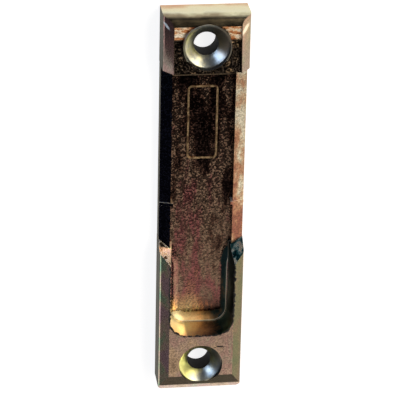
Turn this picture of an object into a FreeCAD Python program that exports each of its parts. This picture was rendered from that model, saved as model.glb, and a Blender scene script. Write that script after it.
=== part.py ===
import FreeCAD, Part
import math
import os
import sys

import Sketcher
from FreeCAD import Placement, Rotation, Vector

# Door strike plate, one zinc die casting that lies flat on its back.
# X runs across the plate, Y along it towards the rounded head end, Z up out of the face.
# The origin is the middle of the back face. All sizes are millimetres and degrees.

SIZES = {
    # whole plate
    "plate_length": 86.8,
    "plate_width": 18.0,
    "edge_height": 5.8,
    "edge_round": 1.1,
    "corner_round": 1.5,
    # thick block around the bolt pocket
    "block_length": 35.3,
    "block_height": 7.6,
    "block_bevel": 2.1,
    "end_bevel": 2.9,
    "end_bevel_drop": 1.6,
    "end_chamfer": 1.6,
    "end_chamfer_foot": 4.6,
    "end_round": 0.8,
    "left_mouth_slope": 63.0,
    "left_mouth_skew": 31.0,
    "right_mouth_slope": 54.0,
    "right_mouth_skew": 18.0,
    "channel_end_distance": 1.4,
    # low waist between block and head
    "waist_inset": 0.05,
    "ledge_outer_height": 2.7,
    "ledge_inner_height": 3.5,
    "channel_width": 13.2,
    "channel_draft": 4.0,
    "floor_thickness": 1.6,
    # head with the sloping face
    "head_length": 12.0,
    "head_bevel": 2.0,
    "head_edge_round": 1.1,
    "crest_height": 8.35,
    "nose_radius": 2.3,
    "nose_axis_height": 4.9,
    "panel_width": 13.7,
    "panel_depth": 0.35,
    "valley_height": 6.15,
    "valley_distance": 5.8,
    "valley_round": 2.0,
    "bank_height": 6.9,
    # bolt pocket
    "pocket_width": 13.7,
    "pocket_end_distance": 14.2,
    "pocket_corner": 4.0,
    "pocket_draft": 8.0,
    "shelf_height": 2.3,
    "shelf_width": 0.15,
    "dish_round": 3.0,
    "dish_mouth": 2.0,
    "dish_runout_width": 2.0,
    "dish_runout_round": 8.0,
    # screw holes and the raised seat in the head
    "head_hole_distance": 6.8,
    "block_hole_distance": 7.1,
    "bore_radius": 2.55,
    "screw_head_radius": 4.5,
    "counterbore_radius": 4.7,
    "seat_height": 6.6,
    "boss_wall": 0.3,
    "boss_height": 7.3,
    # bare tablet on the channel floor
    "tablet_length": 16.5,
    "tablet_width": 6.4,
    "tablet_corner": 0.9,
    "tablet_line": 0.4,
    "tablet_relief": 0.25,
    "tablet_offset": 18.05,
    # raised mark across both ledges at mid length
    "mark_width": 0.7,
    "mark_relief": 0.3,
    "mark_overhang": 0.5,
    "mark_offset": 0.2,
    # cutting tools reach past the faces that they trim by this much
    "clearance": 1.0,
}


class Size:
    """A length or angle that carries both its number and the formula bound to the sheet."""

    def __init__(self, value, formula):
        self.value = value
        self.formula = formula

    def _join(self, other, sign, value):
        return Size(value, "(%s %s %s)" % (self.formula, sign, as_size(other).formula))

    def __add__(self, other):
        return self._join(other, "+", self.value + as_size(other).value)

    def __sub__(self, other):
        return self._join(other, "-", self.value - as_size(other).value)

    def __mul__(self, other):
        return self._join(other, "*", self.value * as_size(other).value)

    def __truediv__(self, other):
        return self._join(other, "/", self.value / as_size(other).value)

    def __neg__(self):
        return Size(-self.value, "(0 - %s)" % self.formula)


def as_size(number):
    """Return a plain number as a Size."""
    if isinstance(number, Size):
        return number
    return Size(float(number), repr(float(number)))


def tangent(angle):
    """Return the tangent of an angle in degrees."""
    return Size(math.tan(math.radians(angle.value)), "tan(%s * 1 deg)" % angle.formula)


def cosine(angle):
    """Return the cosine of an angle in degrees."""
    return Size(math.cos(math.radians(angle.value)), "cos(%s * 1 deg)" % angle.formula)


def root(number):
    """Return the square root of a plain number."""
    return Size(math.sqrt(number.value), "sqrt(%s)" % number.formula)


class Turn:
    """Makes the edge between two corners of an outline an arc around a centre."""

    def __init__(self, across, along, clockwise=False):
        self.centre = (as_size(across), as_size(along))
        self.clockwise = clockwise


def make_sheet(document):
    """Write the driving dimensions into a spreadsheet and return them as sizes."""
    sheet = document.addObject("Spreadsheet::Sheet", "sizes")
    sizes = {}
    for row, (name, value) in enumerate(SIZES.items(), start=1):
        sheet.set("A%d" % row, name)
        sheet.set("B%d" % row, str(value))
        sheet.setAlias("B%d" % row, name)
        sizes[name] = Size(value, "sizes.%s" % name)
    document.recompute()
    return sizes


def origin_plane(body, role):
    """Return one of the body's own origin planes."""
    for feature in body.Origin.OriginFeatures:
        if feature.Role == role:
            return feature
    raise ValueError(role)


def new_sketch(body, name, role, lift=0.0, shift=0.0):
    """Put an empty sketch on an origin plane.

    lift moves it along the plane's normal and shift along the sketch's first direction.
    """
    sketch = body.newObject("Sketcher::SketchObject", name)
    sketch.AttachmentSupport = [(origin_plane(body, role), "")]
    sketch.MapMode = "FlatFace"
    lift = as_size(lift)
    shift = as_size(shift)
    sketch.AttachmentOffset = Placement(Vector(shift.value, 0, lift.value), Rotation())
    sketch.setExpression("AttachmentOffset.Base.x", shift.formula)
    sketch.setExpression("AttachmentOffset.Base.z", lift.formula)
    return sketch


def pin(sketch, kind, place, value, name):
    """Add one named coordinate or radius constraint and bind it to its formula."""
    sketch.addConstraint(Sketcher.Constraint(kind, *place, value.value))
    index = sketch.ConstraintCount - 1
    sketch.renameConstraint(index, name)
    sketch.setExpression("Constraints.%s" % name, value.formula)


def flat_point(corner):
    """Return a corner's numbers as a point of the sketch."""
    return Vector(corner[0].value, corner[1].value, 0)


def add_arc(sketch, start, end, turn):
    """Add one arc and return its index and which of its ends is the start."""
    centre = flat_point(turn.centre)
    first, last = (end, start) if turn.clockwise else (start, end)
    angles = [math.atan2(p.y - centre.y, p.x - centre.x) for p in (first, last)]
    if angles[1] < angles[0]:
        angles[1] += 2 * math.pi
    circle = Part.Circle(centre, Vector(0, 0, 1), first.distanceToPoint(centre))
    index = sketch.addGeometry(Part.ArcOfCircle(circle, angles[0], angles[1]), False)
    return index, 2 if turn.clockwise else 1


def pin_arc_centre(sketch, index, start, end, turn, name):
    """Fix the one coordinate of an arc's centre that its two ends leave open."""
    wide = abs(start.x - end.x) > abs(start.y - end.y)
    kind = "DistanceY" if wide else "DistanceX"
    pin(sketch, kind, (index, 3), turn.centre[1 if wide else 0], name)


def draw_outline(sketch, path, prefix="p", closed=True):
    """Draw an outline of corners and turns with every coordinate bound to the sheet."""
    corners = [tuple(map(as_size, item)) for item in path if not isinstance(item, Turn)]
    turns = {}
    count = -1
    for item in path:
        if isinstance(item, Turn):
            turns[count] = item
        else:
            count += 1
    edges = []
    for number in range(len(corners) if closed else len(corners) - 1):
        start = flat_point(corners[number])
        end = flat_point(corners[(number + 1) % len(corners)])
        turn = turns.get(number)
        if turn is None:
            edges.append((sketch.addGeometry(Part.LineSegment(start, end), False), 1))
        else:
            edges.append(add_arc(sketch, start, end, turn))
            name = "%s%dc" % (prefix, number)
            pin_arc_centre(sketch, edges[-1][0], start, end, turn, name)
    for number, (across, along) in enumerate(corners):
        index, side = edges[number] if number < len(edges) else edges[-1]
        if number == len(edges):
            side = 3 - side
        elif number or closed:
            before, side_before = edges[number - 1]
            joint = Sketcher.Constraint("Coincident", before, 3 - side_before, index, side)
            sketch.addConstraint(joint)
        pin(sketch, "DistanceX", (index, side), across, "%s%dx" % (prefix, number))
        pin(sketch, "DistanceY", (index, side), along, "%s%dy" % (prefix, number))


def mirrored(path):
    """Return an outline's other half, reflected in the sketch's second axis."""
    flipped = []
    for item in reversed(path):
        if isinstance(item, Turn):
            flipped.append(Turn(-item.centre[0], item.centre[1], item.clockwise))
        else:
            flipped.append((-as_size(item[0]), as_size(item[1])))
    return flipped


def rounded_box(half_width, low, high, radius):
    """Return the outline of a box with four rounded corners, anticlockwise."""
    inner = half_width - radius
    return [
        (-inner, low), (inner, low),
        Turn(inner, low + radius), (half_width, low + radius),
        (half_width, high - radius),
        Turn(inner, high - radius), (inner, high),
        (-inner, high),
        Turn(-inner, high - radius), (-half_width, high - radius),
        (-half_width, low + radius),
        Turn(-inner, low + radius),
    ]


def pad(body, name, sketch, length, midplane=False, reverse=False):
    """Add a straight extrusion of a sketch."""
    feature = body.newObject("PartDesign::Pad", name)
    feature.Profile = sketch
    feature.Length = length.value
    feature.setExpression("Length", length.formula)
    feature.Midplane = midplane
    feature.Reversed = reverse
    sketch.Visibility = False
    return feature


def cut(body, name, sketch, length, midplane=False, reverse=False, draft=None):
    """Remove a straight or drafted extrusion of a sketch."""
    feature = body.newObject("PartDesign::Pocket", name)
    feature.Profile = sketch
    feature.Length = length.value
    feature.setExpression("Length", length.formula)
    feature.Midplane = midplane
    feature.Reversed = reverse
    if draft is not None:
        feature.TaperAngle = draft.value
        feature.setExpression("TaperAngle", draft.formula)
    sketch.Visibility = False
    return feature


def loft_cut(body, name, sections):
    """Remove the ruled solid that joins several sections."""
    feature = body.newObject("PartDesign::SubtractiveLoft", name)
    feature.Profile = sections[0]
    feature.Sections = sections[1:]
    feature.Ruled = True
    return feature


def edges_where(feature, test):
    """Return the names of a feature's edges whose middle passes a test."""
    names = []
    for number, edge in enumerate(feature.Shape.Edges, start=1):
        middle = edge.valueAt((edge.FirstParameter + edge.LastParameter) / 2)
        if test(edge, middle):
            names.append("Edge%d" % number)
    return names


def fillet(body, name, base, radius, test):
    """Round the edges of a feature that pass a test."""
    body.Document.recompute()
    feature = body.newObject("PartDesign::Fillet", name)
    feature.Base = (base, edges_where(base, test))
    feature.Radius = radius.value
    feature.setExpression("Radius", radius.formula)
    return feature


def near(value, target, reach=0.02):
    """Tell whether two lengths agree."""
    return abs(value - target) < reach


def block_start(size):
    """Return how far along the plate the block reaches towards the head."""
    return size["block_length"] - size["plate_length"] / 2


def soft_edge(wall, height, run, rise, radius):
    """Return the rounded corner between an upright wall and the bevel that leans off it."""
    bevel = root(run * run + rise * rise)
    tail = radius * (bevel - rise) / run
    return [
        (wall, height - tail),
        Turn(wall - radius, height - tail),
        (wall - tail * run / bevel, height + tail * rise / bevel),
    ]


def add_block(body, size):
    """Pad the block's bevelled section from the square end up to the waist."""
    half = size["plate_width"] / 2
    bevel = size["block_bevel"]
    rise = size["block_height"] - size["edge_height"]
    side = [(half, 0)]
    side += soft_edge(half, size["edge_height"], bevel, rise, size["edge_round"])
    side += [(half - bevel, size["block_height"])]
    sketch = new_sketch(body, "block_section", "XZ_Plane", lift=-block_start(size))
    draw_outline(sketch, side + mirrored(side))
    return pad(body, "block", sketch, size["block_length"])


def bevel_end(body, size):
    """Slope the block's top down to the square end, in a shallow bevel and a steep chamfer."""
    end = size["plate_length"] / 2
    reach = size["clearance"]
    top = size["block_height"]
    foot = size["end_chamfer_foot"]
    crease = end - size["end_chamfer"]
    drop = size["end_bevel_drop"]
    edge = soft_edge(end, foot, size["end_chamfer"], top - drop - foot, size["end_round"])
    outline = [(end + reach, top + reach), (end + reach, edge[0][1])] + edge
    outline += [
        (crease, top - drop),
        (crease - size["end_bevel"], top),
        (crease - size["end_bevel"], top + reach),
    ]
    sketch = new_sketch(body, "end_bevel_profile", "YZ_Plane")
    draw_outline(sketch, mirrored(outline))
    return cut(body, "end_bevel", sketch, size["plate_width"] + reach * 2, midplane=True)


def round_corners(body, size):
    """Round the two corners of the square end from front to back."""
    half = size["plate_width"] / 2
    end = -size["plate_length"] / 2
    reach = size["clearance"]
    radius = size["corner_round"]
    corner = [
        (half - radius, end - reach), (half + reach, end - reach),
        (half + reach, end + radius), (half, end + radius),
        Turn(half - radius, end + radius, clockwise=True), (half - radius, end),
    ]
    sketch = new_sketch(body, "corner_outline", "XY_Plane", lift=size["block_height"] + reach)
    draw_outline(sketch, corner, "right")
    draw_outline(sketch, mirrored(corner), "left")
    return cut(body, "end_corners", sketch, size["block_height"] + reach * 2)


def mouth_section(body, size, hand, number, height):
    """Sketch one side of the funnel mouth at one height, from the middle outwards."""
    skew = tangent(size[hand + "_mouth_skew"])
    rise = (height - size["ledge_outer_height"]) / tangent(size[hand + "_mouth_slope"])
    start = block_start(size) - rise / cosine(size[hand + "_mouth_skew"])
    half = size["plate_width"] / 2
    reach = size["clearance"]
    front = block_start(size) + reach * 3
    side = [
        (half + reach, start + reach * skew),
        (half + reach, front),
        (0, front),
        (0, start - half * skew),
    ]
    sketch = new_sketch(body, "%s_mouth_%d" % (hand, number), "XY_Plane", lift=height)
    draw_outline(sketch, mirrored(side) if hand == "left" else side)
    return sketch


def cut_mouth(body, size, hand):
    """Slope and skew the block's front on one side, where it leads the bolt in."""
    heights = [as_size(0), size["block_height"] + size["clearance"]]
    sections = [mouth_section(body, size, hand, *place) for place in enumerate(heights)]
    return loft_cut(body, hand + "_mouth", sections)


def add_waist(body, size):
    """Pad the low section with its two sloping ledges over the plate's length."""
    half = size["plate_width"] / 2 - size["waist_inset"]
    inner = size["channel_width"] / 2
    side = [(half, 0), (half, size["ledge_outer_height"]), (inner, size["ledge_inner_height"])]
    length = size["plate_length"] - size["corner_round"] - size["head_length"] / 2
    middle = size["plate_length"] / 2 - size["head_length"] / 2
    sketch = new_sketch(body, "waist_section", "XZ_Plane", lift=-middle)
    draw_outline(sketch, side + mirrored(side))
    return pad(body, "waist", sketch, length)


def head_line(size):
    """Return the head's rim line, crest to top of the nose, as (along, height) pairs."""
    end = size["plate_length"] / 2
    return [
        (end - size["head_length"], size["crest_height"]),
        (end - size["nose_radius"], size["nose_axis_height"] + size["nose_radius"]),
    ]


def add_head(body, size):
    """Pad the head's side profile: sloping rim and the rounded nose at the end."""
    end = size["plate_length"] / 2
    crest, nose = head_line(size)
    sketch = new_sketch(body, "head_profile", "YZ_Plane")
    draw_outline(sketch, [
        (crest[0], 0), (end, 0),
        (end, size["nose_axis_height"]),
        Turn(nose[0], size["nose_axis_height"]), nose,
        crest,
    ])
    return pad(body, "head", sketch, size["plate_width"], midplane=True)


def bevel_section(body, size, name, along, height, flip):
    """Sketch what one of the head's side bevels removes at one place along it."""
    half = size["plate_width"] / 2
    bevel = size["head_bevel"]
    reach = size["clearance"]
    drop = (height - size["edge_height"]) / bevel * reach
    side = [
        (half + reach, size["edge_height"] - drop),
        (half + reach, size["crest_height"] + reach),
        (half - bevel, size["crest_height"] + reach),
        (half - bevel, height),
    ]
    sketch = new_sketch(body, name, "XZ_Plane", lift=-along)
    draw_outline(sketch, mirrored(side) if flip else side)
    return sketch


def bevel_head(body, size):
    """Slope both sides of the head so that they follow its rim line."""
    crest, nose = head_line(size)
    reach = size["clearance"]
    climb = (crest[1] - nose[1]) / (nose[0] - crest[0])
    stations = [
        (crest[0] - reach, crest[1] + climb * reach),
        nose,
        (size["plate_length"] / 2 + reach, nose[1]),
    ]
    for hand in ("left", "right"):
        sections = []
        for number, (along, height) in enumerate(stations):
            name = "head_bevel_%s_%d" % (hand, number)
            sections.append(bevel_section(body, size, name, along, height, hand == "left"))
        feature = loft_cut(body, "head_bevel_" + hand, sections)
    return feature


def round_head(body, base, size):
    """Round the long edges between the head's side walls and its side bevels."""
    half = size["plate_width"].value / 2
    rim = size["edge_height"].value
    foot = size["plate_length"].value / 2 - size["head_length"].value

    def is_rim(edge, middle):
        return near(abs(middle.x), half) and near(middle.z, rim) and middle.y > foot

    return fillet(body, "head_rim", base, size["head_edge_round"], is_rim)


def sink_panel(body, size):
    """Sink a face between the side bevels: a slope, a rounded valley and a bank to the nose."""
    crest, nose = head_line(size)
    reach = size["clearance"]
    radius = size["valley_round"]
    above = size["crest_height"] + reach
    valley = (size["plate_length"] / 2 - size["valley_distance"], size["valley_height"])
    run = valley[0] - crest[0]
    fall = crest[1] - size["panel_depth"] - valley[1]
    slope = root(run * run + fall * fall)
    stretch = nose[0] - valley[0]
    rise = size["bank_height"] - valley[1]
    bank = root(stretch * stretch + rise * rise)
    fold = (fall * rise - run * stretch) / (slope * bank)
    trim = radius * root((fold + 1) / (-fold + 1))
    slope_end = (valley[0] - trim * run / slope, valley[1] + trim * fall / slope)
    bank_start = (valley[0] + trim * stretch / bank, valley[1] + trim * rise / bank)
    centre = (slope_end[0] + radius * fall / slope, slope_end[1] + radius * run / slope)
    sketch = new_sketch(body, "panel_profile", "YZ_Plane")
    draw_outline(sketch, [
        (crest[0] - reach, crest[1] - size["panel_depth"] + fall / run * reach),
        slope_end, Turn(centre[0], centre[1]), bank_start,
        (nose[0], size["bank_height"]),
        (nose[0], above),
        (crest[0] - reach, above),
    ])
    return cut(body, "panel", sketch, size["panel_width"], midplane=True)


def cut_channel(body, size):
    """Cut the channel down to the floor between head and block."""
    foot = size["plate_length"] / 2 - size["head_length"]
    half = size["channel_width"] / 2
    stop = block_start(size) - size["channel_end_distance"]
    sketch = new_sketch(body, "channel_outline", "XY_Plane", lift=size["ledge_inner_height"])
    draw_outline(sketch, [
        (half, foot),
        (-half, foot),
        (-half, stop),
        (half, stop),
    ])
    depth = size["ledge_inner_height"] - size["floor_thickness"]
    return cut(body, "channel", sketch, depth, draft=-size["channel_draft"])


def cut_pocket(body, size):
    """Cut the drafted bolt pocket out of the block, open towards the channel."""
    half = size["pocket_width"] / 2
    end = size["pocket_end_distance"] - size["plate_length"] / 2
    radius = size["pocket_corner"]
    mouth = block_start(size)
    sketch = new_sketch(body, "pocket_outline", "XY_Plane", lift=size["block_height"])
    draw_outline(sketch, [
        (half, mouth), (-half, mouth), (-half, end + radius),
        Turn(radius - half, end + radius), (radius - half, end),
        (half - radius, end),
        Turn(half - radius, end + radius), (half, end + radius),
    ])
    depth = size["block_height"] - size["floor_thickness"]
    return cut(body, "pocket", sketch, depth, draft=-size["pocket_draft"])


def dish_path(body, size, inset):
    """Draw the line that the foot of the pocket wall follows around the closed end.

    Near the mouth both ends swing out into the walls, so that the foot fades away.
    """
    half = size["pocket_width"] / 2 - inset
    corner = size["pocket_end_distance"] - size["plate_length"] / 2 + size["pocket_corner"]
    radius = size["pocket_corner"] - inset
    swing = size["dish_runout_round"]
    offset = size["dish_runout_width"]
    mouth = block_start(size) - size["dish_mouth"]
    reach = root(offset * (swing * 2 - offset))
    side = [
        (half + offset, mouth),
        Turn(half + swing, mouth - reach),
        (half, mouth - reach), (half, corner),
        Turn(half - radius, corner, clockwise=True),
        (half - radius, corner - radius),
    ]
    sketch = new_sketch(body, "dish_path", "XY_Plane", lift=size["floor_thickness"])
    draw_outline(sketch, side + mirrored(side), closed=False)
    return sketch


def add_dish(body, size):
    """Sweep the concave foot of the pocket wall around its closed end."""
    drop = size["block_height"] - size["shelf_height"]
    inset = drop * tangent(size["pocket_draft"]) + size["shelf_width"]
    end = size["pocket_end_distance"] - size["plate_length"] / 2 + inset
    height = size["shelf_height"] - size["floor_thickness"]
    spread = root((size["dish_round"] * 2 - height) * height)
    buried = end - size["shelf_width"] * 3
    under = size["floor_thickness"] - size["shelf_width"]
    path = dish_path(body, size, inset)
    profile = new_sketch(body, "dish_section", "YZ_Plane")
    draw_outline(profile, [
        (buried, under),
        (end + spread, under),
        (end + spread, size["floor_thickness"]),
        Turn(end + spread, size["floor_thickness"] + size["dish_round"], clockwise=True),
        (end, size["shelf_height"]),
        (buried, size["shelf_height"]),
    ])
    feature = body.newObject("PartDesign::AdditivePipe", "dish")
    feature.Profile = profile
    feature.Spine = (path, [])
    path.Visibility = False
    profile.Visibility = False
    return feature


def add_boss(body, size):
    """Raise the round screw seat out of the head's sloping face."""
    radius = size["counterbore_radius"] + size["boss_wall"]
    place = size["plate_length"] / 2 - size["head_hole_distance"]
    sketch = new_sketch(body, "boss_outline", "XY_Plane", lift=size["floor_thickness"])
    sketch.addGeometry(Part.Circle(Vector(0, place.value, 0), Vector(0, 0, 1), radius.value), False)
    pin(sketch, "DistanceX", (0, 3), as_size(0), "centre_x")
    pin(sketch, "DistanceY", (0, 3), place, "centre_y")
    pin(sketch, "Radius", (0,), radius, "boss_radius")
    return pad(body, "boss", sketch, size["boss_height"] - size["floor_thickness"])


def bore_hole(body, size, name, place):
    """Turn out one screw hole: clearance bore, cone for the screw head, counterbore."""
    reach = size["clearance"]
    cone_depth = size["screw_head_radius"] - size["bore_radius"]
    sketch = new_sketch(body, name + "_section", "YZ_Plane", shift=place)
    draw_outline(sketch, [
        (0, -reach),
        (size["bore_radius"], -reach),
        (size["bore_radius"], size["seat_height"] - cone_depth),
        (size["screw_head_radius"], size["seat_height"]),
        (size["counterbore_radius"], size["seat_height"]),
        (size["counterbore_radius"], size["crest_height"] + reach),
        (0, size["crest_height"] + reach),
    ])
    feature = body.newObject("PartDesign::Groove", name)
    feature.Profile = sketch
    feature.ReferenceAxis = (sketch, ["V_Axis"])
    feature.Angle = 360.0
    return feature


def add_tablet(body, size):
    """Raise the bare tablet's thin frame from the channel floor."""
    half = size["tablet_width"] / 2
    low = size["tablet_offset"] - size["tablet_length"] / 2
    high = size["tablet_offset"] + size["tablet_length"] / 2
    line = size["tablet_line"]
    sketch = new_sketch(body, "tablet_outline", "XY_Plane", lift=size["floor_thickness"])
    draw_outline(sketch, rounded_box(half, low, high, size["tablet_corner"]), "outer")
    draw_outline(sketch, rounded_box(half - line, low + line, high - line,
                                     size["tablet_corner"] - line), "inner")
    return pad(body, "tablet", sketch, size["tablet_relief"])


def add_centre_mark(body, size):
    """Lay a rounded rib across each ledge at mid length."""
    outer = size["plate_width"] / 2 - size["waist_inset"]
    edge = size["channel_width"] / 2
    inner = edge - size["mark_overhang"]
    slope = (size["ledge_inner_height"] - size["ledge_outer_height"]) / (outer - edge)
    relief = size["mark_relief"]
    side = [
        (inner, size["floor_thickness"]),
        (outer, size["floor_thickness"]),
        (outer, size["ledge_outer_height"] + relief),
        (inner, size["ledge_inner_height"] + relief + slope * size["mark_overhang"]),
    ]
    sketch = new_sketch(body, "mark_section", "XZ_Plane", lift=-size["mark_offset"])
    draw_outline(sketch, side, "right")
    draw_outline(sketch, mirrored(side), "left")
    return pad(body, "centre_mark", sketch, size["mark_width"], midplane=True)


def build_strike_plate(document, size):
    """Build the one casting as a body and return it."""
    body = document.addObject("PartDesign::Body", "strike_plate")
    body.Label = "strike_plate"
    end = size["plate_length"] / 2
    add_block(body, size)
    bevel_end(body, size)
    round_corners(body, size)
    cut_mouth(body, size, "left")
    cut_mouth(body, size, "right")
    add_waist(body, size)
    add_head(body, size)
    bevelled = bevel_head(body, size)
    round_head(body, bevelled, size)
    sink_panel(body, size)
    cut_channel(body, size)
    cut_pocket(body, size)
    add_dish(body, size)
    add_boss(body, size)
    bore_hole(body, size, "head_hole", end - size["head_hole_distance"])
    bore_hole(body, size, "block_hole", size["block_hole_distance"] - end)
    add_tablet(body, size)
    add_centre_mark(body, size)
    document.recompute()
    return body


def check(document, bodies):
    """Stop when any feature failed or any body is not one valid solid."""
    for item in document.Objects:
        if "Invalid" in item.State or "Error" in item.State:
            sys.exit("failed feature: %s %s" % (item.Name, item.State))
    for body in bodies:
        shape = body.Shape
        if shape.isNull() or not shape.isValid() or len(shape.Solids) != 1:
            sys.exit("bad solid: %s" % body.Label)


def main():
    """Build the document, check it and write each part to its file."""
    document = FreeCAD.newDocument("door_strike_plate")
    size = make_sheet(document)
    bodies = [build_strike_plate(document, size)]
    check(document, bodies)
    os.makedirs("parts", exist_ok=True)
    for body in bodies:
        body.Shape.exportStep("parts/%s.step" % body.Label)
        box = body.Shape.BoundBox
        print("%s volume %.1f mm3, box %.2f x %.2f x %.2f mm" % (
            body.Label, body.Shape.Volume, box.XLength, box.YLength, box.ZLength))


main()
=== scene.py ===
"""Finish, studio and camera for a die-cast door strike plate that lies on its back.

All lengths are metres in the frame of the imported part: X across the plate, Y along it
towards the sloping head, Z up out of the face. Names that end in _mm hold millimetres.
"""

import logging
import math
import random
from dataclasses import dataclass, field
from enum import Enum
from typing import Callable

import bpy
from mathutils import Matrix, Vector


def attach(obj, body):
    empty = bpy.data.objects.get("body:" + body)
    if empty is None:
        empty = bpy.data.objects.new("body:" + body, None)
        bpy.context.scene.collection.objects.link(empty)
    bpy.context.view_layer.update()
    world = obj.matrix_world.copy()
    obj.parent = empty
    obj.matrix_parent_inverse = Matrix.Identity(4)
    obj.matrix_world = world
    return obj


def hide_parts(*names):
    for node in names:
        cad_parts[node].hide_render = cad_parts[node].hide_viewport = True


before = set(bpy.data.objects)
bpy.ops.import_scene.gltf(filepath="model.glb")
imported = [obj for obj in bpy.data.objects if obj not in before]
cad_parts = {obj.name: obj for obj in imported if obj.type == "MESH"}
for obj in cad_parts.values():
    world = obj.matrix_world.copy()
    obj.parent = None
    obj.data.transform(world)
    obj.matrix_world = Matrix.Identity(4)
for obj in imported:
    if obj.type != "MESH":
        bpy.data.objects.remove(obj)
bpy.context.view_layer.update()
LOG = logging.getLogger("strike_plate")
MM = 0.001

Socket = bpy.types.NodeSocket
Colour = tuple[float, float, float, float]
Stops = tuple[tuple[float, str], ...]


class Face(Enum):
    """The ways that a panel of light can face."""

    DOWN = "down"
    INWARD = "inward"


def linear(hex_value: str) -> Colour:
    """Turn an sRGB hex value into a linear colour.

    Args:
        hex_value: six hex digits, such as "a98b74".

    Returns:
        Red, green, blue and an alpha of 1.
    """
    channels = [int(hex_value[i:i + 2], 16) / 255 for i in (0, 2, 4)]
    curve = [c / 12.92 if c <= 0.04045 else ((c + 0.055) / 1.055) ** 2.4 for c in channels]
    return (*curve, 1.0)


def between(value: float, limits: tuple[float, float]) -> bool:
    """Tell whether a value lies between two limits."""
    return limits[0] < value < limits[1]


def add_node(tree: bpy.types.NodeTree, kind: str, inputs: dict | None = None,
             **settings: object) -> bpy.types.Node:
    """Add one node with its settings, values and links.

    Args:
        tree: the node tree that gets the node.
        kind: the node's type name without its ShaderNode prefix.
        inputs: socket names or numbers, with a value or an output socket for each.
        settings: properties of the node.

    Returns:
        The new node.
    """
    node = tree.nodes.new("ShaderNode" + kind)
    for name, value in settings.items():
        setattr(node, name, value)
    for name, value in (inputs or {}).items():
        if isinstance(value, Socket):
            tree.links.new(value, node.inputs[name])
        else:
            node.inputs[name].default_value = value
    return node


def add_ramp(tree: bpy.types.NodeTree, factor: Socket, stops: Stops) -> Socket:
    """Add a colour ramp.

    Args:
        tree: the node tree that gets the ramp.
        factor: the value that runs along the ramp.
        stops: position and sRGB hex value of each stop, in order.

    Returns:
        The ramp's colour output.
    """
    node = add_node(tree, "ValToRGB", {"Fac": factor})
    elements = node.color_ramp.elements
    elements[0].position, elements[0].color = stops[0][0], linear(stops[0][1])
    elements[1].position, elements[1].color = stops[-1][0], linear(stops[-1][1])
    for position, tint in stops[1:-1]:
        elements.new(position).color = linear(tint)
    return node.outputs["Color"]


@dataclass
class PhotoCamera:
    """A long lens over the plate, tilted towards its head and a little to its left.

    Args:
        distance: how far the lens is from the point it aims at.
        tilt_deg: how far it leans towards the head from straight above.
        swing_deg: how far it leans to the left.
        roll_deg: how far it is turned about its own line of sight.
        lens_mm: focal length for a sensor that is 36 mm wide.
        aim: the point in the middle of the picture.
    """

    distance: float = 0.483466
    tilt_deg: float = 25.102
    swing_deg: float = 7.261
    roll_deg: float = 1.307
    lens_mm: float = 206.83
    aim: Vector = field(default_factory=lambda: Vector((-0.3, 0.774, 3.0)) * MM)

    def build(self) -> bpy.types.Object:
        """Place the camera and make it the scene's own.

        Returns:
            The camera object.
        """
        tilt, swing, roll = (math.radians(a) for a in
                             (self.tilt_deg, self.swing_deg, self.roll_deg))
        back = Vector((-math.sin(swing), math.sin(tilt) * math.cos(swing),
                       math.cos(tilt) * math.cos(swing)))
        up = (Vector((0, 1, 0)) - back * back.y).normalized()
        right = up.cross(back)
        turned_right = right * math.cos(roll) + up * math.sin(roll)
        turned_up = up * math.cos(roll) - right * math.sin(roll)
        bpy.ops.object.camera_add()
        camera = bpy.context.object
        camera.name = "photo_camera"
        camera.data.sensor_width = 36.0
        camera.data.lens = self.lens_mm
        camera.data.clip_start = 0.01
        axes = Matrix((turned_right, turned_up, back)).transposed().to_4x4()
        camera.matrix_world = Matrix.Translation(self.aim + back * self.distance) @ axes
        bpy.context.scene.camera = camera
        return camera


@dataclass
class LightPanel:
    """One rectangular soft light.

    Args:
        name: what the panel is called in the scene.
        centre: where its middle is.
        size: its width and height.
        power: its power in watts.
        tint: its colour as an sRGB hex value.
        face: whether it faces straight down or the plate.
    """

    name: str
    centre: tuple[float, float, float]
    size: tuple[float, float]
    power: float
    tint: str
    face: Face

    def build(self) -> bpy.types.Object:
        """Add the light.

        Returns:
            The light object.
        """
        bpy.ops.object.light_add(type="AREA", location=self.centre)
        light = bpy.context.object
        light.name = self.name
        light.data.shape = "RECTANGLE"
        light.data.size, light.data.size_y = self.size
        light.data.energy = self.power
        light.data.color = linear(self.tint)[:3]
        if self.face is Face.INWARD:
            aim = Vector(self.centre).to_track_quat("Z", "Y")
            light.rotation_euler = aim.to_euler()
        return light


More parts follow.
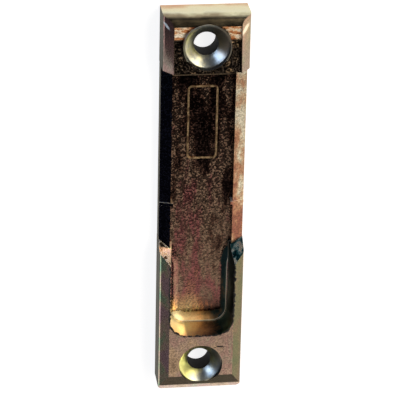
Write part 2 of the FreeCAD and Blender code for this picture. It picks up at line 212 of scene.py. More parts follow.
@dataclass
class Studio:
    """A white table in a dark room that is lighter near the horizon, with soft panels.

    Args:
        table_width: length of the table's sides.
        table_glow: how brightly the table is lit from within, like a light box.
        room: colours of the room from the horizon to straight overhead, as ramp stops.
        panels: the soft lights.
    """

    table_width: float = 6.0
    table_glow: float = 0.86
    room: Stops = (
        (0.0, "6c6a68"), (0.17, "64615f"), (0.26, "5c5a5c"), (0.44, "45444a"),
        (0.69, "26262c"), (0.87, "1c1c22"), (1.0, "161619"))
    panels: list[LightPanel] = field(default_factory=lambda: [
        LightPanel("front_panel", (0.06, -1.18, 0.6), (0.48, 1.7), 2.2, "fff6ea", Face.DOWN),
        LightPanel("right_panel", (0.8, -1.15, 0.6), (1.0, 1.7), 5.5, "fff2e2", Face.DOWN),
        LightPanel("right_card", (1.4, -0.4, 0.3), (1.4, 0.6), 4.0, "fff2e2", Face.INWARD),
        LightPanel("side_card", (0.92, 0.72, 0.34), (0.9, 0.34), 3.0, "fff0d8", Face.INWARD),
        LightPanel("high_card", (0.68, 0.5, 0.7), (0.86, 1.0), 9.5, "fff4e0", Face.DOWN),
        LightPanel("head_card", (0.5, 1.3, 0.15), (1.0, 0.3), 0.5, "ffffff", Face.INWARD),
        LightPanel("window", (-0.62, 0.45, 0.26), (0.45, 0.28), 2.2, "c8dcff", Face.INWARD),
    ])

    def build(self) -> None:
        """Add the table, the room around it and the lights."""
        bpy.context.scene.view_settings.view_transform = "Standard"
        self.lay_table()
        self.close_room()
        for panel in self.panels:
            panel.build()

    def lay_table(self) -> bpy.types.Object:
        """Add the pale table that the plate lies on.

        Returns:
            The table, marked as part of the stage.
        """
        bpy.ops.mesh.primitive_plane_add(size=self.table_width)
        table = bpy.context.object
        table.name = "table"
        material = bpy.data.materials.new("lit_paper")
        material.use_nodes = True
        paper = material.node_tree.nodes["Principled BSDF"]
        paper.inputs["Base Color"].default_value = linear("b4b4b4")
        paper.inputs["Roughness"].default_value = 0.9
        paper.inputs["Emission Color"].default_value = linear("ffffff")
        paper.inputs["Emission Strength"].default_value = self.table_glow
        table.data.materials.append(material)
        return table

    def close_room(self) -> None:
        """Shade the room around the table by height, dark overhead."""
        world = bpy.data.worlds.new("dark_room")
        world.use_nodes = True
        tree = world.node_tree
        way = add_node(tree, "TexCoord").outputs["Generated"]
        height = add_node(tree, "SeparateXYZ", {"Vector": way}).outputs["Z"]
        shade = add_ramp(tree, height, self.room)
        tree.links.new(shade, tree.nodes["Background"].inputs["Color"])
        bpy.context.scene.world = world


class Skin(Enum):
    """The surfaces of the casting, each with a finish of its own."""

    FLAT = 0
    FLOOR = 1
    FACE = 2
    NOSE = 3
    RIGHT_LEDGE = 4
    LEFT_LEDGE = 5
    RIGHT_BEVEL = 6
    LEFT_BEVEL = 7
    LEFT_WALL = 8
    SEAT = 9
    POCKET = 10
    BORE = 11
    LEFT_CHEEK = 12
    LEFT_MOUTH = 13
    RIGHT_MOUTH = 14
    END = 15
    RIM = 16
    RIGHT_CHEEK = 17
    FRAME = 18
    DISH = 19
    SLOPE = 20
    LIP = 21


@dataclass(frozen=True)
class PaintedHighlight:
    """A painted highlight: a pale, dull mark laid over the film where a crease or a corner catches
    the light.

    Args:
        centre_mm: the middle of the mark.
        half_mm: half its size across, along and up before it is turned.
        turn_deg: how far it is turned about the upward axis.
        tint: the colour of the painted highlight as an sRGB hex value.
        metallic: how much of the metal's shine is kept under the painted highlight.
    """

    centre_mm: tuple[float, float, float]
    half_mm: tuple[float, float, float]
    turn_deg: float = 0.0
    tint: str = "dcd2ba"
    metallic: float = 0.3

    def lay(self, tree: bpy.types.NodeTree, place: Socket, film: Socket) -> Socket:
        """Lay the mark over the film.

        Args:
            tree: the material's node tree.
            place: the place on the plate.
            film: the colour of the film.

        Returns:
            The colour with the mark in it.
        """
        shine = tree.nodes["Principled BSDF"].inputs["Metallic"]
        local = add_node(tree, "Mapping", {
            "Vector": place, "Location": [c * MM for c in self.centre_mm],
            "Rotation": (0.0, 0.0, math.radians(self.turn_deg)),
            "Scale": [h * MM for h in self.half_mm]}, vector_type="TEXTURE")
        reach = add_node(tree, "VectorMath", {0: local.outputs["Vector"]},
                         operation="LENGTH").outputs["Value"]
        share = add_node(tree, "MapRange", {"Value": reach, "From Min": 1.0,
                                            "From Max": 0.5}).outputs["Result"]
        left = add_node(tree, "MapRange", {"Value": share, "To Min": shine.default_value,
                                           "To Max": self.metallic}).outputs["Result"]
        tree.links.new(left, shine)
        return add_node(tree, "MixRGB", {"Fac": share, "Color1": film,
                                         "Color2": linear(self.tint)}).outputs[0]


@dataclass(frozen=True)
class ChromatedZinc:
    """Yellow-chromated zinc die casting.

    A thin glassy film over bright cast metal: a sharp dark shine with straw, rose and green
    patches, and a skin of fine pits where the mould was rough.

    Args:
        name: the material's name.
        film: colours of the film along its noise, as ramp stops.
        roughness: how dull the shine is.
        patch_mm: size of the coloured patches.
        stretch: how much longer than wide the patches are along the plate.
        unrest: how far the patches run up and down the film's colours.
        drift: how fast the colour changes across, along and up the plate, in ramp per metre; on
            the nose, ledge, seat and pocket finishes it paints light and shade.
        painted_light: colours of painted light and shade that take over along the plate, as ramp
            stops.
        painted_light_drift: how fast the painted light changes across the plate, in ramp per
            metre.
        painted_light_mm: where along the plate the painted light starts and where it is full.
        speck: strength of the dark and light specks in the film.
        grit: how much duller the rough grains are than the film between them.
        grain_mm: size of the pits and specks.
        pit_mm: depth of the pits.
        metallic: 1 for bare shine, less where dirt covers it.
        painted_highlight: a painted highlight, pale and dull, laid over the film.
    """

    name: str
    film: Stops
    roughness: float = 0.22
    patch_mm: float = 8.0
    stretch: float = 1.6
    unrest: float = 1.0
    drift: tuple[float, float, float] = (0.0, 0.0, 0.0)
    painted_light: Stops = ()
    painted_light_drift: float = 0.0
    painted_light_mm: tuple[float, float] = (0.0, -1.0)
    speck: float = 0.2
    grit: float = 0.0
    grain_mm: float = 0.35
    pit_mm: float = 0.006
    metallic: float = 1.0
    painted_highlight: PaintedHighlight | None = None

    def build(self) -> bpy.types.Material:
        """Make the material.

        Returns:
            The finished material.
        """
        material = bpy.data.materials.new(self.name)
        material.use_nodes = True
        tree = material.node_tree
        shader = tree.nodes["Principled BSDF"]
        shader.inputs["Metallic"].default_value = self.metallic
        shader.inputs["Roughness"].default_value = self.roughness
        place = add_node(tree, "TexCoord").outputs["Object"]
        film = self.add_film(tree, place)
        grain = add_node(tree, "TexNoise", {"Vector": place, "Scale": 1 / (self.grain_mm * MM),
                                            "Detail": 2.5, "Roughness": 0.6}).outputs["Fac"]
        specks = add_node(tree, "MapRange", {"Value": grain, "From Min": 0.35, "From Max": 0.65,
                                             "To Min": 1 - self.speck,
                                             "To Max": 1 + self.speck}).outputs["Result"]
        skin = add_node(tree, "VectorMath", {0: film, "Scale": specks},
                        operation="SCALE").outputs[0]
        # Lay the painted highlight, where there is one, over the film.
        if self.painted_highlight:
            skin = self.painted_highlight.lay(tree, place, skin)
        pits = add_node(tree, "Bump", {"Height": grain, "Strength": 1.0,
                                       "Distance": self.pit_mm * MM})
        tree.links.new(skin, shader.inputs["Base Color"])
        tree.links.new(pits.outputs["Normal"], shader.inputs["Normal"])
        if self.grit:
            dull = add_node(tree, "MapRange", {"Value": grain, "From Min": 0.52, "From Max": 0.62,
                                               "To Min": self.roughness,
                                               "To Max": self.roughness + self.grit})
            tree.links.new(dull.outputs["Result"], shader.inputs["Roughness"])
        return material

    def add_film(self, tree: bpy.types.NodeTree, place: Socket) -> Socket:
        """Colour the film by its patches and by the place on the plate.

        Args:
            tree: the material's node tree.
            place: the place on the plate.

        Returns:
            The film's colour.
        """
        drawn = add_node(tree, "Mapping", {"Vector": place, "Scale": self.patch_scale()})
        patches = add_node(tree, "TexNoise", {"Vector": drawn.outputs["Vector"], "Scale": 1.0,
                                              "Detail": 5.0, "Roughness": 0.62})
        drift = add_node(tree, "VectorMath", {0: place, 1: self.drift},
                         operation="DOT_PRODUCT").outputs["Value"]
        uneven = add_node(tree, "MapRange", {"Value": patches.outputs["Fac"],
                                             "To Min": 0.5 - self.unrest / 2,
                                             "To Max": 0.5 + self.unrest / 2}).outputs["Result"]
        depth = add_node(tree, "Math", {0: uneven, 1: drift}).outputs[0]
        film = add_ramp(tree, depth, self.film)
        return self.add_painted_light(tree, place, uneven, film) if self.painted_light else film

    def add_painted_light(self, tree: bpy.types.NodeTree, place: Socket, uneven: Socket,
                  film: Socket) -> Socket:
        """Lay painted light and shade over the film along the plate.

        Args:
            tree: the material's node tree.
            place: the place on the plate.
            uneven: the patches' noise.
            film: the film's colour.

        Returns:
            The colour of the film with the painted light over it.
        """
        parts = add_node(tree, "SeparateXYZ", {"Vector": place})
        shift = add_node(tree, "Math", {0: parts.outputs["X"], 1: self.painted_light_drift, 2: uneven},
                         operation="MULTIPLY_ADD").outputs[0]
        start, full = (edge * MM for edge in self.painted_light_mm)
        share = add_node(tree, "MapRange", {"Value": parts.outputs["Y"], "From Min": start,
                                            "From Max": full}).outputs["Result"]
        painted_light_colour = add_ramp(tree, shift, self.painted_light)
        return add_node(tree, "MixRGB", {"Fac": share, "Color1": film,
                                         "Color2": painted_light_colour}).outputs[0]

    def patch_scale(self) -> tuple[float, float, float]:
        """Return how often the patches repeat in a metre, across, along and up."""
        often = 1 / (self.patch_mm * MM)
        return often, often / self.stretch, often


# half size in millimetres of a mark that runs right through the plate
THROUGH = 1000.0
# Painted highlights: a pale line along the crease between the pocket's dish and its walls, and one
# along the crease at the foot of the head's slope.
DISH_CREASE = PaintedHighlight((0.0, 0.0, 2.3), (THROUGH, THROUGH, 0.12))
HEAD_CREASE = PaintedHighlight((0.0, 28.6, 2.0), (THROUGH, 0.16, THROUGH), tint="8c7c68")

FINISHES = {
    Skin.FLAT: ChromatedZinc(
        "plated_flat",
        ((0.3, "98806a"), (0.42, "c4a88c"), (0.5, "bca290"), (0.58, "b8968a"), (0.7, "b0ac92")),
        patch_mm=4.0, speck=0.3, grain_mm=0.35, pit_mm=0.01),
    Skin.FLOOR: ChromatedZinc(
        "cast_floor",
        ((0.3, "ac7868"), (0.38, "a86a6a"), (0.46, "9a7668"), (0.52, "ac907a"), (0.58, "7a5c4e"),
         (0.64, "42322e"), (0.76, "241c1a")),
        roughness=0.14, patch_mm=3.0, stretch=4.0, drift=(0.0, 4.8, 0.0),
        # Painted light where the floor meets the dish: gold on the left as painted reflection,
        # dark on the right as painted shade.
        painted_light=((0.3, "fcdc9c"), (0.46, "f0c080"), (0.54, "c88c58"), (0.6, "6c5040"),
               (0.68, "3c302c")),
        painted_light_drift=26.0, painted_light_mm=(-21.5, -26.5), speck=0.5, grit=0.22, grain_mm=0.36,
        pit_mm=0.02, painted_highlight=HEAD_CREASE),
    Skin.FACE: ChromatedZinc(
        "cast_face",
        ((0.34, "8c5030"), (0.44, "bc7c4c"), (0.5, "d0a47c"), (0.56, "ecd8bc"), (0.66, "f4e8d4")),
        roughness=0.2, patch_mm=2.2, stretch=0.4, unrest=1.4, speck=0.4, grit=0.3,
        grain_mm=0.5, pit_mm=0.06),
    Skin.SLOPE: ChromatedZinc(
        "cast_slope",
        ((0.34, "6c5c4c"), (0.44, "3c342e"), (0.54, "342e2a"), (0.62, "7c6854"), (0.7, "a08868")),
        roughness=0.14, patch_mm=2.5, drift=(4.0, 0.0, 0.0), speck=0.7, grit=0.34, grain_mm=0.4,
        pit_mm=0.06),
    # Painted light by height: the nose is pale on its upright end, painted reflection, and dark on
    # its top, painted shade.
    Skin.NOSE: ChromatedZinc(
        "nose_painted_light",
        ((0.46, "b07c56"), (0.53, "bc986e"), (0.6, "ccc29c"), (0.71, "c8c4a4"), (0.77, "8c8068"),
         (0.84, "34302a")),
        roughness=0.24, patch_mm=7.0, stretch=0.4, unrest=0.3, drift=(0.0, 0.0, 44.0), speck=0.03,
        pit_mm=0.001),
    # Painted light on the waist's mirrored ledges: the right one pale, fading darker and redder
    # towards the lower end; the left one navy-black as painted shade.
    Skin.RIGHT_LEDGE: ChromatedZinc(
        "right_ledge_painted_light",
        ((0.35, "986858"), (0.47, "b08468"), (0.58, "c09c80"), (0.7, "ccb89c"), (0.8, "dcd8c4")),
        patch_mm=2.4, stretch=2.2, unrest=1.7, drift=(0.0, 7.5, 0.0), speck=0.3, grain_mm=0.4,
        pit_mm=0.01),
    Skin.LEFT_LEDGE: ChromatedZinc(
        "left_ledge_painted_shade", ((0.3, "30303c"), (0.5, "3a3c50"), (0.7, "2c3a42")), speck=0.4,
        grit=0.1, grain_mm=0.4, pit_mm=0.02),
    # Painted shade: the right bevel is a darker copy of the pale left bevel.
    Skin.RIGHT_BEVEL: ChromatedZinc(
        "right_bevel_painted_shade",
        ((0.3, "605240"), (0.45, "786450"), (0.55, "6c664c"), (0.7, "566042"))),
    Skin.LEFT_BEVEL: ChromatedZinc(
        "plated_left_bevel",
        ((0.34, "c4a4a8"), (0.45, "d0b8a4"), (0.55, "b0bc9c"), (0.66, "94b49c")),
        patch_mm=4.0, unrest=1.3, drift=(0.0, 2.0, 0.0)),
    # Painted highlights at the head's mitres: a cyan-white streak on the left cheek and a pale
    # patch on the right cheek.
    Skin.LEFT_CHEEK: ChromatedZinc(
        "plated_left_cheek", ((0.34, "98827c"), (0.5, "a07c78"), (0.66, "8c8478")),
        painted_highlight=PaintedHighlight((-8.3, 41.2, 7.0), (1.1, 0.32, THROUGH), -54.0, "e8f4fa")),
    Skin.RIGHT_CHEEK: ChromatedZinc(
        "plated_right_cheek", ((0.34, "8c7260"), (0.5, "9e8674"), (0.66, "948c70")),
        painted_highlight=PaintedHighlight((7.7, 40.3, 7.0), (1.6, 0.5, THROUGH), 56.0, "f4e8d0")),
    # Painted shade: the left upright side is dark, olive and dull, while the right side takes the
    # plain flat finish.
    Skin.LEFT_WALL: ChromatedZinc(
        "left_wall_painted_shade", ((0.3, "4c463a"), (0.5, "5c5646"), (0.7, "484838")), roughness=0.8,
        metallic=0.3),
    # The straw tint is the film's own; the paleness and the change from yellow on each cone's left
    # to grey on its right are painted light.
    Skin.SEAT: ChromatedZinc(
        "seat_tint_and_painted_light",
        ((0.3, "ecec9c"), (0.44, "ecead0"), (0.52, "bcc4c0"), (0.6, "a8aca8"), (0.7, "b8b0a0")),
        roughness=0.32, patch_mm=4.0, drift=(35.0, 2.5, 0.0), speck=0.04, pit_mm=0.002),
    # Painted light in the pocket: its walls and dish run from pale gold on the left, painted
    # reflection, to dark teal on the right, painted shade.
    Skin.POCKET: ChromatedZinc(
        "pocket_wall_painted_light",
        ((0.3, "fffff4"), (0.42, "fff8dc"), (0.54, "f6dcb0"), (0.59, "b0987c"), (0.63, "486460"),
         (0.69, "1c3838"), (0.8, "102020")),
        roughness=0.3, unrest=0.5, drift=(26.0, 0.0, 0.0), speck=0.1,
        painted_highlight=DISH_CREASE),
    Skin.DISH: ChromatedZinc(
        "pocket_dish_painted_light",
        ((0.3, "ffecbc"), (0.42, "ffdca0"), (0.54, "f0b878"), (0.59, "9c7850"), (0.63, "3c504c"),
         (0.69, "1c3838"), (0.8, "102020")),
        roughness=0.42, unrest=0.5, drift=(26.0, 0.0, 0.0), speck=0.15, metallic=0.75,
        painted_highlight=DISH_CREASE),
    # The tablet's raised faces are paler than the floor around them.
    Skin.FRAME: ChromatedZinc(
        "tablet_frame_pale",
        ((0.36, "6c5440"), (0.46, "a88c6c"), (0.54, "d0b48c"), (0.64, "705844")),
        roughness=0.4, patch_mm=1.6, speck=0.4, grain_mm=0.4, pit_mm=0.02),
    # Painted light on the two mirrored mouths: the left one mostly pale cream, painted reflection;
    # the right one dark teal, painted shade, with whitish painted highlights.
    Skin.LEFT_MOUTH: ChromatedZinc(
        "mouth_left_painted_reflection",
        ((0.26, "2c2418"), (0.36, "f0dcb0"), (0.5, "fffbe4"), (0.64, "fffff0"), (0.74, "5c4c30")),
        patch_mm=1.1, unrest=2.0, pit_mm=0.03, grain_mm=0.9),
    Skin.RIGHT_MOUTH: ChromatedZinc(
        "mouth_right_painted_shade",
        ((0.26, "0c2428"), (0.42, "1c5058"), (0.52, "2c7478"), (0.64, "c0e0dc"), (0.76, "fff0d8")),
        patch_mm=1.1, unrest=2.0, pit_mm=0.03, grain_mm=0.9),
    # Painted shade: the lower end's bevel is darker than the flat next to it.
    Skin.END: ChromatedZinc(
        "end_painted_shade", ((0.3, "5c4c3c"), (0.5, "6c5c48"), (0.7, "58543c"))),
    # Near-black and dull, for the rim flash and the gouge's faces.
    Skin.RIM: ChromatedZinc(
        "rim_near_black", ((0.3, "060504"), (0.5, "0c0a08"), (0.7, "1c1510")), roughness=0.7,
        patch_mm=0.6, metallic=0.0),
    # Painted highlight: pale lines on the head's crest, the centre marks, the mouths' small faces
    # and the raised seat's upper left flank.
    Skin.LIP: ChromatedZinc(
        "lip_painted_highlight", ((0.36, "d0bc9c"), (0.5, "f4ecd8"), (0.64, "d8dce0")), roughness=0.55,
        patch_mm=1.5, speck=0.25),
    # Painted shade: the bores and most of the raised seat's flank are near-black, dull and not
    # metallic.
    Skin.BORE: ChromatedZinc(
        "bore_painted_shade", ((0.3, "060505"), (0.7, "15110e")), roughness=0.9, metallic=0.0),
}


@dataclass(frozen=True)
class Spot:
    """Where a face of the casting lies and which way it looks.

    Args:
        x: place across the plate in millimetres.
        y: place along the plate in millimetres.
        z: height in millimetres.
        slant: the part of the face's normal that points across the plate.
        lean: the part that points along the plate, towards its head.
        rise: the part that points up.
        area: the face's area in square millimetres.
    """

    x: float
    y: float
    z: float
    slant: float
    lean: float
    rise: float
    area: float

    @classmethod
    def of(cls, face: bpy.types.MeshPolygon) -> "Spot":
        """Return the spot of one face."""
        x, y, z = (c / MM for c in face.center)
        return cls(x, y, z, *face.normal, face.area / MM ** 2)


@dataclass(frozen=True)
class Gouge:
    """The small torn gouge in the flat beside the lower hole.

    Args:
        place_mm: where its middle lies, across and along.
        half_mm: half its size across, along and up.
        turn_deg: how far it is turned from straight across.
    """

    place_mm: tuple[float, float] = (4.0, -32.0)
    half_mm: tuple[float, float, float] = (1.1, 0.2, 0.16)
    turn_deg: float = 6.0

    def tear(self, piece: bpy.types.Object, height_mm: float) -> None:
        """Tear the gouge out of a piece.

        Args:
            piece: the rounded casting.
            height_mm: height of the flat that the gouge lies in.
        """
        across, along = self.place_mm
        bpy.ops.object.select_all(action="DESELECT")
        bpy.ops.mesh.primitive_ico_sphere_add(subdivisions=2, radius=MM)
        nail = bpy.context.object
        bpy.ops.object.mode_set(mode="EDIT")
        bpy.ops.transform.resize(value=self.half_mm)
        bpy.ops.transform.rotate(value=math.radians(self.turn_deg), orient_axis="Z",
                                 center_override=(0, 0, 0))
        bpy.ops.transform.translate(value=(across * MM, along * MM, height_mm * MM))
        bpy.ops.object.mode_set(mode="OBJECT")
        nail.select_set(False)
        bpy.context.view_layer.objects.active = piece
        piece.select_set(True)
        tearing = piece.modifiers.new("gouge", "BOOLEAN")
        tearing.operation = "DIFFERENCE"
        tearing.object = nail
        bpy.ops.object.modifier_apply(modifier=tearing.name)
        bpy.data.objects.remove(nail)

    def holds(self, spot: Spot) -> bool:
        """Tell whether a face below the flat belongs to the gouge."""
        return math.dist((spot.x, spot.y), self.place_mm) < self.half_mm[0]


@dataclass(frozen=True)
class SkinMap:
    """Finds the skin of each face of the casting from its place and direction.

    Args:
        gouge: the gouge beside the lower hole.
        holes_mm: where the two screw holes lie along the plate.
        seat_mm: radius of the screws' seats.
        boss_mm: radius of the raised seat in the head.
        channel_mm: half the width of the channel.
        head_mm: where the head starts along the plate.
        slope_mm: where the slope of the head's sunk face starts and ends.
        tablet_mm: where the tablet's frame starts and ends.
        pocket_mm: where the pocket ends and starts.
        mouth_mm: where the two mouths start and end.
        waist_mm: where the waist with the ledges starts and ends.
        slanted: least sideways part of the normal of a bevelled side.
    """

    gouge: Gouge
    holes_mm: tuple[float, float] = (36.6, -36.3)
    seat_mm: float = 4.78
    boss_mm: float = 5.1
    channel_mm: float = 6.84
    head_mm: float = 31.5
    slope_mm: tuple[float, float] = (28.5, 38.0)
    tablet_mm: tuple[float, float] = (6.0, 30.0)
    pocket_mm: tuple[float, float] = (-29.6, -8.0)
    mouth_mm: tuple[float, float] = (-15.0, -5.0)
    waist_mm: tuple[float, float] = (-8.0, 31.5)
    slanted: float = 0.4

    def skin_of(self, spot: Spot) -> Skin:
        """Tell which skin a face belongs to, by the first rule that knows it.

        Args:
            spot: the face's place and direction.

        Returns:
            The skin, which is the broad flats' where no rule knows the face.
        """
        for rule in (self.back_or_end, self.hole, self.nose_or_wall, self.painted_highlight_edge,
                     self.sunk_face, self.pocket, self.mouth, self.side):
            skin = rule(spot)
            if skin:
                return skin
        return Skin.FLAT

    def back_or_end(self, spot: Spot) -> Skin | None:
        """Know the flat back and the narrow top of the lower end.

        Args:
            spot: the face's place and direction.

        Returns:
            The skin, or None where the face is none of these.
        """
        if spot.rise < -0.9:
            return Skin.FLAT
        if spot.y < -39.5 and spot.lean < -0.2 and spot.rise > 0.8:
            return Skin.END
        return None

    def hole(self, spot: Spot) -> Skin | None:
        """Know the bores, the cones and the raised seat's ring and flank; the bores and the flank
        take painted shade, the flank's upper left a painted highlight.

        Args:
            spot: the face's place and direction.

        Returns:
            The skin, or None where the face is none of these.
        """
        for hole in self.holes_mm:
            reach = math.hypot(spot.x, spot.y - hole)
            raised = hole > 0
            if reach < self.seat_mm and abs(spot.rise) < 0.3:
                return Skin.BORE
            # The flank: a painted highlight on its upper left, painted shade everywhere else.
            if raised and 4.8 < reach < 5.2 and spot.rise < 0.95:
                return Skin.LIP if spot.x < 1 and spot.y > hole else Skin.BORE
            if reach < self.seat_mm and 0.3 < spot.rise < 0.9:
                return Skin.SEAT
            if raised and self.seat_mm < reach < self.boss_mm:
                return Skin.SEAT
            level = spot.rise > 0.9 and abs(spot.lean) < 0.05
            if reach < self.boss_mm and level and spot.z < 7.45:
                return Skin.SEAT
        return None

    def nose_or_wall(self, spot: Spot) -> Skin | None:
        """Know the rounded nose and the upright sides of the plate.

        Args:
            spot: the face's place and direction.

        Returns:
            The skin, or None where the face is none of these.
        """
        if spot.y > 41.05 and abs(spot.slant) < self.slanted:
            return Skin.NOSE
        # Only the left side gets the dark finish, as painted shade; the right side stays plain
        # flat.
        if abs(spot.x) > 8.7 and abs(spot.slant) > 0.9:
            return Skin.LEFT_WALL if spot.x < 0 else Skin.FLAT
        return None

    def painted_highlight_edge(self, spot: Spot) -> Skin | None:
        """Know the crest of the head, the centre marks and the small faces of the mouths, which
        get a painted highlight.

        Args:
            spot: the face's place and direction.

        Returns:
            The skin, or None where the face is none of these.
        """
        out = abs(spot.x)
        on_crest = 31.2 < spot.y < 31.7 and spot.z > 8.1
        in_mark = (abs(spot.y - 0.2) < 0.7 and out > 6.6 and 2.4 < spot.z < 3.8
                   and abs(spot.lean) > 0.15)
        on_mouth = (-15 < spot.y < -5.5 and 6.5 < out < 8.5 and spot.z > 3.6
                    and spot.area < 0.6)
        return Skin.LIP if on_crest or in_mark or on_mouth else None

    def sunk_face(self, spot: Spot) -> Skin | None:
        """Know the head's sunk face, the tablet's frame and the channel's floor.

        Args:
            spot: the face's place and direction.

        Returns:
            The skin, or None where the face is none of these.
        """
        out = abs(spot.x)
        if out < self.channel_mm and between(spot.y, self.slope_mm) and spot.z > 2.2:
            return Skin.SLOPE
        if out < self.channel_mm and spot.y > self.head_mm:
            return Skin.FACE
        if between(spot.y, self.tablet_mm) and out < 4.5 and 1.62 < spot.z < 2.2:
            return Skin.FRAME
        above_dish = spot.y > -26 and (spot.x < 0 or spot.rise > 0.97)
        if spot.z < 2.5 and spot.rise > 0.5 and (above_dish or spot.y > self.pocket_mm[1]):
            return Skin.FLOOR
        return None

    def pocket(self, spot: Spot) -> Skin | None:
        """Know the pocket's dish and walls, and the gouge beside it.

        Args:
            spot: the face's place and direction.

        Returns:
            The skin, or None where the face is none of these.
        """
        if between(spot.y, self.pocket_mm) and 1 < spot.z < 7.3 and abs(spot.x) < 6.95:
            return Skin.DISH if spot.rise > 0.3 else Skin.POCKET
        if spot.z < 7.55 and spot.rise > 0.1 and self.gouge.holds(spot):
            return Skin.RIM
        return None

    def mouth(self, spot: Spot) -> Skin | None:
        """Know the two skewed mouths between the pocket and the ledges, whose finishes paint light
        and shade.

        Args:
            spot: the face's place and direction.

        Returns:
            The skin, or None where the face is none of these.
        """
        if between(spot.y, self.mouth_mm) and 2.8 < spot.z < 7.5 and spot.lean > 0.2:
            return Skin.RIGHT_MOUTH if spot.x > 0 else Skin.LEFT_MOUTH
        return None

    def side(self, spot: Spot) -> Skin | None:
        """Know the head's cheeks, the block's bevels and the waist's ledges, whose left and right
        sides get different finishes as painted light and shade.

        Args:
            spot: the face's place and direction.

        Returns:
            The skin, or None where the face is none of these.
        """
        right = spot.x > 0
        if spot.y > self.head_mm and abs(spot.slant) > self.slanted:
            return Skin.RIGHT_CHEEK if right else Skin.LEFT_CHEEK
        if spot.y < -10 and abs(spot.slant) > self.slanted:
            return Skin.RIGHT_BEVEL if right else Skin.LEFT_BEVEL
        if between(spot.y, self.waist_mm) and spot.z < 3.6 and spot.rise > 0.8:
            return Skin.RIGHT_LEDGE if right else Skin.LEFT_LEDGE
        return None


@dataclass
class Casting:
    """The plate itself, in one piece.

    Args:
        node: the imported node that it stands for.
        merge_mm: how near two corners are before they become one.
        flat_deg: the greatest angle between two faces that become one.
        edge_mm: the greatest width of the worn rounds; short edges hold them far below it.
        sharp_deg: the least angle of an edge that gets a round.
        smooth_deg: the greatest angle that is shaded smoothly.
        flat_mm: height of the block's flat above the table.
        gouge: the gouge beside the lower hole.
    """

    node: str = "strike_plate"
    merge_mm: float = 0.001
    flat_deg: float = 0.3
    edge_mm: float = 0.15
    sharp_deg: float = 28.0
    smooth_deg: float = 32.0
    flat_mm: float = 7.62
    gouge: Gouge = Gouge()

    def build(self) -> bpy.types.Object:
        """Model and dress the casting.

        Returns:
            The finished casting.
        """
        piece = self.copy_node()
        self.weld()
        self.round_edges(piece)
        self.gouge.tear(piece, self.flat_mm)
        self.even_shading(piece)
        self.dress(piece)
        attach(piece, "root")
        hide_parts(self.node)
        return piece

    def copy_node(self) -> bpy.types.Object:
        """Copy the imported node, with a mesh of its own.

        Returns:
            The copy, selected and active.
        """
        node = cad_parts[self.node]
        bpy.ops.object.select_all(action="DESELECT")
        node.select_set(True)
        bpy.context.view_layer.objects.active = node
        bpy.ops.object.duplicate()
        piece = bpy.context.object
        piece.name = "casting"
        return piece

    def weld(self) -> None:
        """Merge the copy's loose triangles into one closed skin of flat faces."""
        bpy.ops.object.mode_set(mode="EDIT")
        bpy.ops.mesh.select_all(action="SELECT")
        bpy.ops.mesh.remove_doubles(threshold=self.merge_mm * MM)
        bpy.ops.mesh.normals_make_consistent(inside=False)
        bpy.ops.mesh.dissolve_limited(angle_limit=math.radians(self.flat_deg))
        bpy.ops.object.mode_set(mode="OBJECT")

    def round_edges(self, piece: bpy.types.Object) -> None:
        """Take the sharpness off every edge, as plating and handling do.

        Args:
            piece: the welded casting.
        """
        rounding = piece.modifiers.new("worn_edges", "BEVEL")
        rounding.width = self.edge_mm * MM
        rounding.segments = 2
        rounding.limit_method = "ANGLE"
        rounding.angle_limit = math.radians(self.sharp_deg)
        bpy.ops.object.modifier_apply(modifier=rounding.name)

    def even_shading(self, piece: bpy.types.Object) -> None:
        """Shade the rounds smoothly and the broad faces flat.

        Args:
            piece: the modelled casting.
        """
        bpy.ops.object.shade_smooth_by_angle(angle=math.radians(self.smooth_deg))
        weighting = piece.modifiers.new("flat_faces", "WEIGHTED_NORMAL")
        weighting.keep_sharp = True
        weighting.weight = 100
        bpy.ops.object.modifier_apply(modifier=weighting.name)

    def dress(self, piece: bpy.types.Object) -> None:
        """Give each face the finish of its skin.

        Args:
            piece: the rounded casting.
        """
        piece.data.materials.clear()
        for skin in Skin:
            piece.data.materials.append(FINISHES[skin].build())
        skins = SkinMap(self.gouge)
        for face in piece.data.polygons:
            face.material_index = skins.skin_of(Spot.of(face)).value


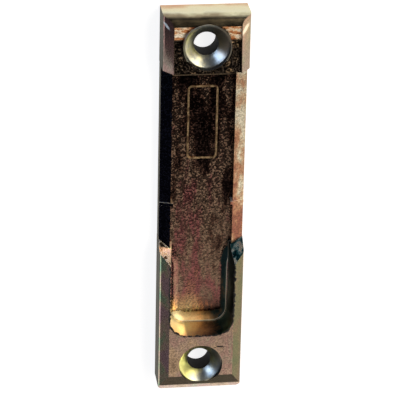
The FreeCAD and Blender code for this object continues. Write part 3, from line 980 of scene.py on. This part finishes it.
@dataclass
class RimFlash:
    """The torn, near-black line of flash that runs along the rim of the pocket.

    Args:
        width_mm: width of the pocket at its rim.
        mouth_mm: where the line starts and stops along the plate.
        end_mm: where the end of the pocket lies along the plate.
        corner_mm: radius of the pocket's two corners.
        height_mm: height of the rim above the table.
        step_mm: length of one tooth of the line.
        thick_mm: thickness of the line, half of it sunk into the metal.
        sway_mm: how far the line sways to either side.
        teeth: the thicknesses among which each point of the line gets one, as shares.
        seed: start of the number row that sets the teeth.
    """

    width_mm: float = 13.8
    mouth_mm: float = -12.6
    end_mm: float = -29.25
    corner_mm: float = 4.0
    height_mm: float = 7.62
    step_mm: float = 0.3
    thick_mm: float = 0.44
    sway_mm: float = 0.14
    teeth: tuple[float, ...] = (0.3, 0.5, 0.8, 1.0, 1.3)
    seed: int = 7

    def build(self) -> bpy.types.Object:
        """Model and dress the line.

        Returns:
            The finished piece.
        """
        self.tear(self.draw_rim())
        piece = bpy.context.object
        piece.data.materials.clear()
        piece.data.materials.append(FINISHES[Skin.RIM].build())
        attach(piece, "root")
        return piece

    def draw_rim(self) -> bpy.types.Object:
        """Draw the rim as a row of short edges, open at the mouth.

        Returns:
            The drawn rim, selected and active.
        """
        bpy.ops.object.select_all(action="DESELECT")
        bpy.ops.mesh.primitive_plane_add(size=1)
        piece = bpy.context.object
        piece.name = "rim_flash"
        bpy.ops.object.mode_set(mode="EDIT")
        long, middle = self.mouth_mm - self.end_mm, (self.mouth_mm + self.end_mm) / 2
        bpy.ops.transform.resize(value=(self.width_mm * MM, long * MM, 1))
        bpy.ops.transform.translate(value=(0, middle * MM, self.height_mm * MM))
        bpy.ops.mesh.delete(type="ONLY_FACE")
        self.pick(piece, "EDGE", lambda a, b: min(a.y, b.y) / MM > self.mouth_mm - 0.01)
        bpy.ops.mesh.delete(type="EDGE")
        self.pick(piece, "VERT", lambda a, b: max(a.y, b.y) / MM < self.end_mm + 0.01)
        bpy.ops.mesh.bevel(offset=self.corner_mm * MM, segments=8, affect="VERTICES")
        side, end = long - self.corner_mm, self.width_mm - self.corner_mm * 2
        corner_step = self.corner_mm * math.pi / 16
        for least, span in ((8.0, side), (3.0, end), (self.step_mm * 1.5, corner_step)):
            self.pick(piece, "EDGE", lambda a, b: (a - b).length / MM > least)
            bpy.ops.mesh.subdivide(number_cuts=round(span / self.step_mm))
        bpy.ops.object.mode_set(mode="OBJECT")
        return piece

    def pick(self, piece: bpy.types.Object, mode: str,
             wanted: Callable[[Vector, Vector], bool]) -> None:
        """Select edges by their two ends, and stay in edit mode.

        Args:
            piece: the piece being edited.
            mode: VERT or EDGE, the kind of selection that follows.
            wanted: tells from an edge's ends whether it is selected.
        """
        bpy.ops.mesh.select_mode(type="EDGE")
        bpy.ops.mesh.select_all(action="DESELECT")
        bpy.ops.object.mode_set(mode="OBJECT")
        corners = piece.data.vertices
        for edge in piece.data.edges:
            edge.select = wanted(*(corners[i].co for i in edge.vertices))
        bpy.ops.object.mode_set(mode="EDIT")
        bpy.ops.mesh.select_mode(type=mode)

    def tear(self, piece: bpy.types.Object) -> None:
        """Turn the edges into a bead with teeth of uneven reach and thickness.

        Args:
            piece: the drawn rim.
        """
        chance = random.Random(self.seed)
        for corner in piece.data.vertices:
            corner.co.x += chance.uniform(-self.sway_mm, self.sway_mm) * MM
            corner.co.y += chance.uniform(-self.sway_mm, self.sway_mm) * MM
        bpy.ops.object.convert(target="CURVE")
        line = bpy.context.object.data
        line.bevel_depth = self.thick_mm / 2 * MM
        line.bevel_resolution = 1
        line.use_fill_caps = True
        for point in line.splines[0].points:
            point.radius = chance.choice(self.teeth)
        bpy.ops.object.convert(target="MESH")


def main() -> None:
    """Build the plate, the studio and the camera, and report each piece."""
    logging.basicConfig(level=logging.INFO, format="%(name)s: %(message)s")
    bpy.ops.object.select_all(action="DESELECT")
    plate = Casting().build()
    flash = RimFlash().build()
    for piece in (plate, flash):
        LOG.info("%s: %d faces", piece.name, len(piece.data.polygons))
    Studio().build()
    camera = PhotoCamera().build()
    LOG.info("camera at %s", [round(v, 4) for v in camera.location])


if __name__ == "__main__":
    main()
